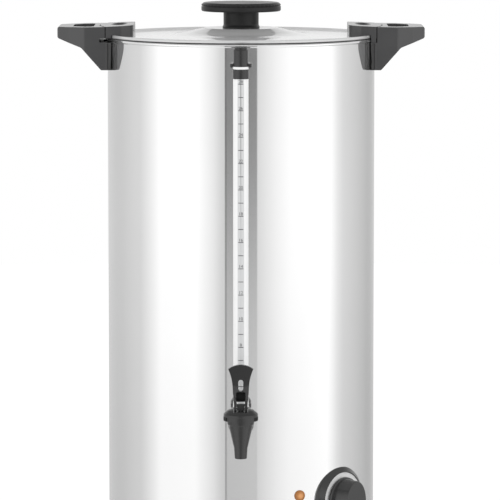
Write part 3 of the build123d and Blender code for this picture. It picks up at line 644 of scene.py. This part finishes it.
def with_painted_foot_shade(bm, side):
    """Paints the foot beside the wall darker with the second material, as painted shade, and sinks a groove
    at the contact.
    """
    for distance in (FOOT_OUTER, FOOT_INNER, FOOT_INNER - CONTACT_WIDTH):
        cut(bm, (side * distance, 0, 0), (1, 0, 0))
    cut(bm, (0, 0, FOOT_TOP), (0, 0, 1))
    for vert in bm.verts:
        x, y, z = (abs(value) / MM for value in vert.co)
        if y > CONTACT_HALF and z < FOOT_TOP + SLACK and x < FOOT_INNER - CONTACT_WIDTH + SLACK:
            vert.co.y -= CONTACT_DEPTH * MM * (1 if vert.co.y > 0 else -1)
    for face in bm.faces:
        x, y, z = (abs(value) / MM for value in face.calc_center_median())
        upright = abs(face.normal.z) < 0.5
        if upright and y > FOOT_HALF and z < FOOT_TOP and x < FOOT_OUTER:
            face.material_index = 1
    return bm


for side, sign in (("right", 1), ("left", -1)):
    handle_mesh = with_painted_foot_shade(softened(f"handle_{side}", HANDLE_ROUND), sign)
    handle = piece(f"loop_handle_{side}", handle_mesh, f"handle_{side}", handle_plastic)
    # The second material is the darker black that paints shade on the foot beside the wall.
    handle.data.materials.append(black_plastic)
    block = f"lid_block_{side}"
    piece(f"lid_grip_block_{side}", softened(block, BLOCK_ROUND), block, handle_plastic)

# %% [markdown]
# ## Sight gauge
#
# The gauge over the tap is one extrusion of two plastics. Most of it is opal white, so that it stands out
# from the steel. A strip down its front is milky and lets the water show through; its grey is partly the
# milk's own tint and partly painted shade of the bore behind it. A fine dark line down the middle of the
# strip is a painted reflection, strongest near the top and fading towards the tap. It is made in the
# finish, from the distance to the urn's middle plane.

# %% Finish of the window strip
# The milk's greys are partly its own tint and partly painted shade of the bore seen through the window.
MILK_AND_SHADE_DARK, MILK_AND_SHADE_LIGHT = rgb(0.74, 0.745, 0.75), rgb(0.78, 0.785, 0.79)
# Painted reflection: the dark line down the window's middle, its width, and its strength at two heights.
REFLECTION_LINE_COLOUR = grey(0.05)
LINE_CORE, LINE_EDGE = 0.3, 0.6
LINE_FAINT_Z, LINE_STRONG_Z = 330, 540
LINE_FAINT, LINE_STRONG = 0.04, 0.55


def milky(name):
    """Milky see-through plastic, its grey partly painted shade, with a painted reflection: a fine dark line
    down its middle that fades towards the tap.
    """
    material, tree, shader = new_finish(name, Roughness=0.14, Transmission_Weight=0.12, IOR=1.47)
    axes = split_axes(tree, object_place(tree))
    across = link_math(tree, "ABSOLUTE", axes["X"])
    line = map_range(tree, across, (LINE_CORE * MM, LINE_EDGE * MM), (1.0, 0.0))
    strength = map_range(tree, axes["Z"], (LINE_FAINT_Z * MM, LINE_STRONG_Z * MM), (LINE_FAINT, LINE_STRONG))
    skin = place_group(tree, PEBBLE, Scale=900.0)
    milk = blend_colours(tree, skin.outputs["Tone"], MILK_AND_SHADE_DARK, MILK_AND_SHADE_LIGHT)
    # Paints the reflection line over the milk, stronger higher up.
    with_painted_reflection = blend_colours(tree, link_math(tree, "MULTIPLY", line, strength), milk, REFLECTION_LINE_COLOUR)
    tree.links.new(with_painted_reflection, shader.inputs["Base Color"])
    return material


# %% [markdown]
# The tube's wall is spun twice from the same small outline: over the arc of the window, and over the rest
# of the circle. Its foot, which stands in the tap, is a black sleeve.

# %% Gauge tube
TUBE_INNER = GAUGE_R - 1.5
TUBE_LOW, TUBE_FOOT, TUBE_HIGH = 179.9, 193.5, 566.8
WINDOW = 50
FRONT = 270


def at_gauge(bm):
    """Shifts a piece that was spun about the origin to the gauge's axis."""
    bmesh.ops.translate(bm, verts=bm.verts, vec=(0, GAUGE_Y * MM, 0))
    return bm


def part_of_tube(start, arc):
    """A strip of the tube's wall, from a start angle and over an arc, in degrees counted from +X."""
    bm = bmesh.new()
    rounded_outline(bm, [(TUBE_INNER, TUBE_FOOT), (GAUGE_R, TUBE_FOOT), (GAUGE_R, TUBE_HIGH),
                         (TUBE_INNER, TUBE_HIGH)])
    bmesh.ops.spin(bm, geom=bm.verts[:] + bm.edges[:] + bm.faces[:], cent=(0, 0, 0), axis=(0, 0, 1),
                   dvec=(0, 0, 0), angle=radians(arc), steps=max(12, arc // 4))
    bmesh.ops.rotate(bm, verts=bm.verts, cent=(0, 0, 0), matrix=Matrix.Rotation(radians(start), 3, "Z"))
    bmesh.ops.recalc_face_normals(bm, faces=bm.faces)
    return at_gauge(bm)


piece("sight_tube", part_of_tube(FRONT - WINDOW / 2, WINDOW), "gauge_tube", milky("milky window with painted shade and reflection"))
extra("opal_back", part_of_tube(FRONT + WINDOW / 2, 360 - WINDOW), "gauge_tube", opal_plastic)

foot_outline = [(TUBE_INNER, TUBE_LOW), (GAUGE_R, TUBE_LOW), (GAUGE_R, TUBE_FOOT, 0.2),
                (TUBE_INNER, TUBE_FOOT)]
extra("tube_foot", at_gauge(spun(foot_outline, steps=96)), "gauge_tube", black_plastic)

# %% [markdown]
# A black cap closes the top of the tube. Its spigot goes down inside, a white ferrule lies under its edge,
# and a black collar below holds the ferrule. A stopper fills the hole in the cap.

# %% Gauge head
SLEEVE_R = GAUGE_R + 0.02
CAP_R, CAP_EDGE_R, CAP_LOW, CAP_TOP = 8.3, 8.45, 566.1, 584.7
SPIGOT_R, SPIGOT_LOW, SPIGOT_TOP = 6.88, 556.0, TUBE_HIGH + 0.02
COLLAR_R, COLLAR_LOW, COLLAR_HIGH = 9.0, 552.9, 563.3
FERRULE_R, FERRULE_LOW, FERRULE_HIGH = 8.5, COLLAR_HIGH + 0.1, 566.0
STOPPER_STEM_R, STOPPER_R, STOPPER_LOW, STOPPER_TOP = 4.5, 7.05, 577, 587.3

ferrule_outline = [(SLEEVE_R, FERRULE_LOW), (FERRULE_R, FERRULE_LOW, 0.1), (FERRULE_R, FERRULE_HIGH, 0.1),
                   (SLEEVE_R, FERRULE_HIGH)]
extra("gauge_ferrule", at_gauge(spun(ferrule_outline, steps=96)), "gauge_tube", opal_plastic)

cap_outline = [(STOPPER_STEM_R, CAP_TOP), (CAP_R, CAP_TOP, 0.8), (CAP_R, TUBE_HIGH + 0.4),
               (CAP_EDGE_R, TUBE_HIGH, 0.1), (CAP_EDGE_R, CAP_LOW, 0.2), (SLEEVE_R, CAP_LOW),
               (SLEEVE_R, SPIGOT_TOP), (SPIGOT_R, SPIGOT_TOP), (SPIGOT_R, SPIGOT_LOW, 0.5),
               (STOPPER_STEM_R, SPIGOT_LOW)]
collar_outline = [(SLEEVE_R, COLLAR_LOW), (COLLAR_R, COLLAR_LOW, 0.3), (COLLAR_R, COLLAR_HIGH, 0.3),
                  (SLEEVE_R, COLLAR_HIGH)]
cap_mesh = spun(cap_outline, steps=96)
append(cap_mesh, spun(collar_outline, steps=96))
piece("gauge_cap", at_gauge(cap_mesh), "gauge_head")

stopper_outline = [(0, STOPPER_LOW), (STOPPER_STEM_R, STOPPER_LOW), (STOPPER_STEM_R, CAP_TOP),
                   (STOPPER_R, CAP_TOP, 0.2), (STOPPER_R, STOPPER_TOP, 1), (0, STOPPER_TOP)]
piece("gauge_stopper", at_gauge(spun(stopper_outline, steps=64)), "gauge_top_plug")

# %% [markdown]
# A clip behind the head fixes it to the wall. Its shape comes from the frame. Only its two ears, which
# reach round to the ferrule, are stretched in height and set on a slope, as bent sheet ears are.

# %% Gauge clip
EAR_FROM, EAR_BACK = 8.9, -155
EAR_OLD_Z, EAR_Z, EAR_SLOPE, EAR_STRETCH = 568, 566.4, 0.5, 1.6

clip_mesh = softened("gauge_bracket", 0.3)
for vert in clip_mesh.verts:
    beyond = abs(vert.co.x) / MM - EAR_FROM
    if beyond > 0 and vert.co.y / MM < EAR_BACK:
        from_middle = vert.co.z / MM - EAR_OLD_Z
        vert.co.z = (EAR_Z + EAR_SLOPE * beyond + EAR_STRETCH * from_middle) * MM
piece("gauge_clip", clip_mesh, "gauge_bracket")

# %% [markdown]
# ## Litre scale
#
# The tube carries a printed scale: a mark for each litre and a plain number at every second one. The
# spacing isn't a guess, it follows from the tank: one litre fills a little over 14 mm of its height. Type
# is a curve in Blender, so each number is first made a mesh and then wrapped round the tube.

# %% Litre scale
LITRE = 14.37
TOP_MARK, TOP_LITRES = 547.5, 28
MARKS = 25
MARK_WIDTH, MARK_HEIGHT = 5.6, 0.75
DIGIT_HEIGHT, DIGIT_SHARE = 3.4, 0.7
DIGIT_LIFT = 1.0
INK = 0.05


def wrapped(bm, height):
    """Wraps a flat drawing (x across, y up, z thickness, in mm) round the front of the tube."""
    for vert in bm.verts:
        x, y, z = vert.co
        turn = x / SLEEVE_R
        radius = SLEEVE_R + z
        vert.co = Vector((radius * sin(turn), GAUGE_Y - radius * cos(turn), height + y)) * MM
    return bm


def printed_number(text):
    """The mesh of one number, centred on x and standing on y = 0, in mm."""
    curve = bpy.data.curves.new("number", "FONT")
    curve.body = text
    curve.size = DIGIT_HEIGHT / DIGIT_SHARE
    curve.align_x = "CENTER"
    curve.extrude = INK / 2
    curve.resolution_u = 3
    letter = bpy.data.objects.new("number", curve)
    flat = bpy.data.meshes.new_from_object(letter)
    bm = bmesh.new()
    bm.from_mesh(flat)
    bmesh.ops.translate(bm, verts=bm.verts, vec=(0, 0, INK / 2))
    bpy.data.objects.remove(letter)
    bpy.data.curves.remove(curve)
    return bm


def printed_mark():
    """The mesh of one mark, cut into eight so that it can bend round the tube."""
    bm = bmesh.new()
    bmesh.ops.create_grid(bm, x_segments=8, y_segments=1, size=0.5)
    bmesh.ops.scale(bm, vec=(MARK_WIDTH, MARK_HEIGHT, 1), verts=bm.verts)
    bmesh.ops.solidify(bm, geom=bm.faces[:], thickness=-INK)
    return bm


scale_mesh = bmesh.new()
for mark in range(MARKS):
    mark_z = TOP_MARK - LITRE * mark
    append(scale_mesh, wrapped(printed_mark(), mark_z))
    if mark % 2 == 0:
        append(scale_mesh, wrapped(printed_number(str(TOP_LITRES - mark)), mark_z + DIGIT_LIFT))
bmesh.ops.remove_doubles(scale_mesh, verts=scale_mesh.verts, dist=SAME_PLACE)
bmesh.ops.recalc_face_normals(scale_mesh, faces=scale_mesh.faces)
extra("litre_scale", scale_mesh, "gauge_tube", scale_ink)

# %% [markdown]
# ## Tap
#
# Barrel, bonnet, lever and stem are black mouldings. The lever stands upright when the tap is shut, with
# its toes in a channel over the bonnet, and tips forward to open it. The frame has their working shape.
# The look needs fuller curves where nothing works: a dome on the bonnet that swells beside the channel, a
# lever head that widens to its top, and the moulder's pocket in the web between the two prongs. A dome or
# a head is a change of proportion, so vertices are moved by a smooth factor. The pocket has edges of its
# own, so it is cut into the mesh and inset. Its faces are painted near black, as painted shade for the
# depth of the pocket.

# %% Tap barrel and bonnet
DOME_LOW, DOME_HIGH = 188.8, 191.8
CHANNEL_X, DOME_X = 7.9, 12.0
BONNET_WIDER, DOME_FULLER = 0.045, 0.07


def smooth_step(value, low, high):
    """Nought below low, one above high, and a soft S between them."""
    share = min(1, max(0, (value - low) / (high - low)))
    return share * share * (3 - 2 * share)


def full_dome(bm):
    """Fills out the bonnet's dome to a low wide cap, beside the channel that the lever stands in."""
    for vert in bm.verts:
        rise = smooth_step(vert.co.z / MM, DOME_LOW, DOME_HIGH)
        beside = smooth_step(abs(vert.co.x) / MM, CHANNEL_X, DOME_X)
        vert.co.x *= 1 + (BONNET_WIDER + DOME_FULLER * rise) * beside
        vert.co.y = TAP_Y * MM + (vert.co.y - TAP_Y * MM) * (1 + DOME_FULLER * rise)
    return bm


piece("tap_barrel", softened("tap_body", 0.2), "tap_body", crease=35)
piece("tap_cap", full_dome(softened("tap_bonnet", 0.25)), "tap_bonnet", crease=35)

# %% Tap lever
HEAD_LOW, HEAD_SPAN, HEAD_WIDER = 221, 19, 0.04
SHOULDER_X, SHOULDER_LOW, SHOULDER_HIGH = 6.7, 209.8, 211.6
SHOULDER_WIDER, SHOULDER_DROP = 0.08, 4.6
SLOT_X, SLOT_LOW, SLOT_HIGH = 3.6, 215.6, 230.4
SLOT_NARROWER, SLOT_DROP = 0.06, 0.8
POCKET_X, POCKET_LOW, POCKET_HIGH = 4.9, 206.0, 214.8
POCKET_LIP, POCKET_DEPTH = 0.3, 3.2


def shaped_lever(bm):
    """Widens the head a little, and brings the shoulders and the slot down."""
    for vert in bm.verts:
        x, z = vert.co.x / MM, vert.co.z / MM
        if z > HEAD_LOW:
            vert.co.x *= 1 + HEAD_WIDER * min(1, (z - HEAD_LOW) / HEAD_SPAN)
        elif abs(x) > SHOULDER_X and SHOULDER_LOW < z < SHOULDER_HIGH:
            vert.co.x *= 1 + SHOULDER_WIDER
            vert.co.z -= SHOULDER_DROP * MM
        if abs(x) < SLOT_X and SLOT_LOW < z < SLOT_HIGH:
            vert.co.x *= 1 - SLOT_NARROWER
            vert.co.z -= SLOT_DROP * MM
    return bm


def with_pocket(bm):
    """Sinks a pocket into the front of the web between the prongs, painted near black with the second
    material as painted shade.
    """
    for side in (POCKET_X, -POCKET_X):
        cut(bm, (side, 0, 0), (1, 0, 0))
    for level in (POCKET_LOW, POCKET_HIGH):
        cut(bm, (0, 0, level), (0, 0, 1))
    pocket = []
    for face in bm.faces:
        x, y, z = face.calc_center_median() / MM
        on_front = face.normal.y < -0.9 and y < TAP_Y
        if on_front and abs(x) < POCKET_X and POCKET_LOW < z < POCKET_HIGH:
            pocket.append(face)
    sunk = bmesh.ops.inset_region(bm, faces=pocket, thickness=POCKET_LIP * MM, depth=-POCKET_DEPTH * MM,
                                  use_even_offset=True)
    for face in pocket + sunk["faces"]:
        face.material_index = 1
    return bm


lever_mesh = with_pocket(shaped_lever(softened("tap_lever", 0.5)))
tap_handle = piece("tap_handle", lever_mesh, "tap_lever", crease=35)
# The second material paints the lever's pocket near black, as painted shade.
tap_handle.data.materials.append(pocket_shade_black)

# %% Tap stem
STEM_NECK, STEM_HEAD_DROP = 201.9, 0.7

stem_mesh = softened("tap_stem", 0.25)
for vert in stem_mesh.verts:
    if vert.co.z / MM > STEM_NECK:
        vert.co.z -= STEM_HEAD_DROP * MM
piece("valve_stem", stem_mesh, "tap_stem")

# %% [markdown]
# The spring under the bonnet is a coil of steel wire that pushes the stem shut. It can't ride on the
# stem or on the barrel, because one of its ends belongs to each. It keeps its CAD coil, merged, and gets a
# mesh of its own.

spring_mesh = bmesh.new()
spring_mesh.from_mesh(frame["nodes"]["tap_spring"].data)
bmesh.ops.remove_doubles(spring_mesh, verts=spring_mesh.verts, dist=MERGE * MM)
return_spring = piece("return_spring", spring_mesh, "tap_spring")
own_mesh(return_spring)

# %% [markdown]
# ## Thermostat dial and lamp
#
# The bezel is a saddle: its back follows the round wall and its front is flat. A satin plate lies in it
# behind the knob. These are right in the frame and only need soft edges. The lamp is an amber lens with a
# stepped rim. It is spun upright like any turned piece and then laid against the wall.

# %% Dial and lamp
LENS_STEM_R, LENS_STEM_LOW = 5.0, -3.0
LENS_RIM_R, LENS_RIM_LOW, LENS_RIM_TOP = 6.2, -0.6, 1.4
LENS_STEP_R, LENS_CROWN_R, LENS_TOP = 4.6, 3.4, 2.6

piece("dial_saddle", softened("dial_bezel", 0.5), "dial_bezel", dial_plastic, crease=35)
piece("dial_disc", softened("dial_plate", 0.15), "dial_plate")
piece("dial_knob_moulding", softened("thermostat_knob", 0.4), "thermostat_knob", dial_plastic, crease=35)

lens_outline = [(0, LENS_STEM_LOW), (LENS_STEM_R, LENS_STEM_LOW), (LENS_STEM_R, LENS_RIM_LOW),
                (LENS_RIM_R, LENS_RIM_LOW), (LENS_RIM_R, LENS_RIM_TOP, 0.6), (LENS_STEP_R, LENS_RIM_TOP, 0.2),
                (LENS_CROWN_R, LENS_TOP, 1.2), (0, LENS_TOP)]
piece("lamp_window", on_wall(spun(lens_outline, steps=64), LAMP_AZIMUTH, LAMP_Z), "lamp_lens")

# %% [markdown]
# ## What stays as it came
#
# Screws, nuts, washers and the works under the tank floor are right as they are. They keep their meshes
# and only take the finish of their slot.

# %% Finish the other nodes
carried = [node for node, part in frame["nodes"].items() if not part.hide_render]
for node in carried:
    frame["nodes"][node].material_slots[0].material = FINISH[SLOT_OF[node]]
print("kept as they are:", ", ".join(carried))

# %% [markdown]
# ## Studio
#
# Polished steel is a picture of its room. Two broad soft boxes stand left and right of the camera, and a
# dim gap between them, with a darker seam at one edge, is where the camera stands. The sides and the back
# of the room are grey. Above the horizon a pale ceiling takes over, which dims towards the zenith. Only
# glossy rays see this room. The camera and all other light see plain even white, so colours come out as
# they are written.
#
# The broad levels are a colour ramp over the azimuth. A ramp is too coarse for a crisp edge, so the gap
# and the seam are made from ranges of the azimuth instead. Azimuths are degrees from the camera, below
# nought to its left. Heights are the Z of a ray's direction.

# %% Levels of the room
BACK_LEFT = [(-180, 0.69), (-158, 0.655), (-138, 0.60), (-125, 0.605), (-105, 0.679)]
LEFT_BOX = [(-97, 0.70), (-90, 0.80), (-83, 0.915), (-74, 1.09), (-40, 1.13), (-30, 0.967), (-24, 0.869)]
MIDDLE = [(-16, 0.665), (0, 0.69), (15, 0.73)]
RIGHT_BOX = [(21, 0.821), (31, 0.952), (42, 1.06), (80, 1.18), (86, 1.03), (92, 0.846)]
BACK_RIGHT = [(99, 0.72), (107, 0.677), (125, 0.58), (141, 0.50), (150, 0.51), (165, 0.62), (180, 0.69)]
SOFT_ROOM = BACK_LEFT + LEFT_BOX + MIDDLE + RIGHT_BOX + BACK_RIGHT
GAP_EDGES = (-14.0, -13.4, 13.4, 14.1)
GAP_HEIGHTS, GAP_DEPTHS = (-0.150, -0.060), (0.16, 0.70)
SEAM_EDGES, SEAM_DEPTH = (-13.9, -13.4, -12.5, -12.0), 0.42
FLOOR_HEIGHTS, FLOOR_LEVELS = (-0.17, -0.09), (0.90, 1.0)
CEILING_HEIGHTS, CEILING_LEVELS = (0.15, 0.60), (0.93, 0.40)
HORIZON = (0.0, 0.07)


# %% Helpers for the room
def ramp(tree, value, stops):
    """A colour ramp over azimuth, from (degrees, level) stops. Blender's ramps hold 32 stops at most."""
    node = tree.nodes.new("ShaderNodeValToRGB")
    elements = node.color_ramp.elements
    while len(elements) < len(stops):
        elements.new(0.5)
    for element, (degrees, level) in zip(elements, stops):
        element.position = (degrees + 180) / 360
        element.color = grey(level)
    tree.links.new(value, node.inputs["Fac"])
    return node.outputs["Color"]


def between(tree, value, edges):
    """One between two azimuths, nought outside: it rises over the first two edges, falls over the others."""
    rise_from, rise_to, fall_from, fall_to = (radians(edge) for edge in edges)
    rise = map_range(tree, value, (rise_from, rise_to), (0.0, 1.0))
    fall = map_range(tree, value, (fall_from, fall_to), (1.0, 0.0))
    return link_math(tree, "MULTIPLY", rise, fall)


def dimmed(tree, level, mask, depth):
    """Takes a share of the level away where the mask is one."""
    kept = link_math(tree, "SUBTRACT", 1.0, link_math(tree, "MULTIPLY", mask, depth))
    return link_math(tree, "MULTIPLY", level, kept)


def background(tree, level):
    """Light of a plain colour, or of a level that another node gives."""
    node = tree.nodes.new("ShaderNodeBackground")
    feed(tree, node.inputs["Color"], level)
    return node.outputs[0]


# %% World
world = bpy.data.worlds.new("studio")
bpy.context.scene.world = world
world.use_nodes = True
sky = world.node_tree
sky.nodes.clear()

axes = split_axes(sky, sky.nodes.new("ShaderNodeTexCoord").outputs["Generated"])
azimuth = link_math(sky, "ARCTAN2", axes["X"], link_math(sky, "MULTIPLY", axes["Y"], -1.0))
around = link_math(sky, "MULTIPLY_ADD", azimuth, 0.5 / pi, 0.5)
height = axes["Z"]

gap_depth = map_range(sky, height, GAP_HEIGHTS, GAP_DEPTHS)
sides = dimmed(sky, ramp(sky, around, SOFT_ROOM), between(sky, azimuth, GAP_EDGES), gap_depth)
sides = dimmed(sky, sides, between(sky, azimuth, SEAM_EDGES), SEAM_DEPTH)
sides = link_math(sky, "MULTIPLY", sides, map_range(sky, height, FLOOR_HEIGHTS, FLOOR_LEVELS))

above = map_range(sky, height, HORIZON, (0.0, 1.0))
upper = link_math(sky, "MULTIPLY", above, map_range(sky, height, CEILING_HEIGHTS, CEILING_LEVELS))
room_level = link_math(sky, "ADD", upper, dimmed(sky, sides, above, 1.0))

light_path = sky.nodes.new("ShaderNodeLightPath")
choice = sky.nodes.new("ShaderNodeMixShader")
world_output = sky.nodes.new("ShaderNodeOutputWorld")
sky.links.new(light_path.outputs["Is Glossy Ray"], choice.inputs[0])
sky.links.new(background(sky, grey(1)), choice.inputs[1])
sky.links.new(background(sky, room_level), choice.inputs[2])
sky.links.new(choice.outputs[0], world_output.inputs["Surface"])
print("room:", len(SOFT_ROOM), "levels round the horizon")

# %% [markdown]
# ## Lamps
#
# Even light alone leaves black mouldings flat. One large soft lamp from the upper left gives them some
# shape, and a weaker one fills the right. The steel doesn't mirror them, because its room is the world's.

# %% Lamps
LAMP_SIZE = 1.6
AIM = Vector((0, 0, 0.3))


def soft_lamp(name, place, power):
    """A square area lamp aimed at the urn. Mirrors and the camera don't see it."""
    data = bpy.data.lights.new(name, "AREA")
    data.shape = "SQUARE"
    data.size = LAMP_SIZE
    data.energy = power
    lamp = bpy.data.objects.new(name, data)
    lamp.location = place
    lamp.rotation_euler = (AIM - Vector(place)).to_track_quat("-Z", "Y").to_euler()
    lamp.visible_glossy = False
    lamp.visible_camera = False
    bpy.context.scene.collection.objects.link(lamp)
    print(f"{name}: {power} W at {place}")


soft_lamp("key lamp", (-2.0, -2.8, 2.4), 12)
soft_lamp("fill lamp", (2.4, -2.0, 1.6), 5)

# %% [markdown]
# ## Floor
#
# The floor is pale and keeps the urn's shadow. Before the camera it is part glow and part matt surface:
# together they come to plain white where it is lit, so no horizon shows, and the matt part darkens in the
# shadow. All other rays see plain pale paper, which throws light back up onto the base.

# %% Floor
FLOOR_R = 3.0
SHADOWED, GLOW, PAPER = 0.35, 0.70, 0.80


def matt(tree, level):
    """A matt grey surface."""
    node = tree.nodes.new("ShaderNodeBsdfDiffuse")
    node.inputs["Color"].default_value = grey(level)
    return node.outputs[0]


def pale_floor():
    """White with a shadow for the camera, pale paper for every other ray."""
    material = bpy.data.materials.new("pale floor")
    material.use_nodes = True
    tree = material.node_tree
    tree.nodes.clear()
    glow = tree.nodes.new("ShaderNodeEmission")
    glow.inputs["Strength"].default_value = GLOW
    seen = tree.nodes.new("ShaderNodeAddShader")
    tree.links.new(matt(tree, SHADOWED), seen.inputs[0])
    tree.links.new(glow.outputs[0], seen.inputs[1])
    path = tree.nodes.new("ShaderNodeLightPath")
    mix = tree.nodes.new("ShaderNodeMixShader")
    output = tree.nodes.new("ShaderNodeOutputMaterial")
    tree.links.new(path.outputs["Is Camera Ray"], mix.inputs[0])
    tree.links.new(matt(tree, PAPER), mix.inputs[1])
    tree.links.new(seen.outputs[0], mix.inputs[2])
    tree.links.new(mix.outputs[0], output.inputs["Surface"])
    return material


floor_mesh = bpy.data.meshes.new("floor")
floor_bm = bmesh.new()
bmesh.ops.create_circle(floor_bm, cap_ends=True, segments=128, radius=FLOOR_R)
floor_bm.to_mesh(floor_mesh)
floor_bm.free()
floor_mesh.materials.append(pale_floor())
floor = bpy.data.objects.new("floor", floor_mesh)
bpy.context.scene.collection.objects.link(floor)
floor.visible_glossy = False
print(f"floor: a disc of {FLOOR_R:g} m radius")
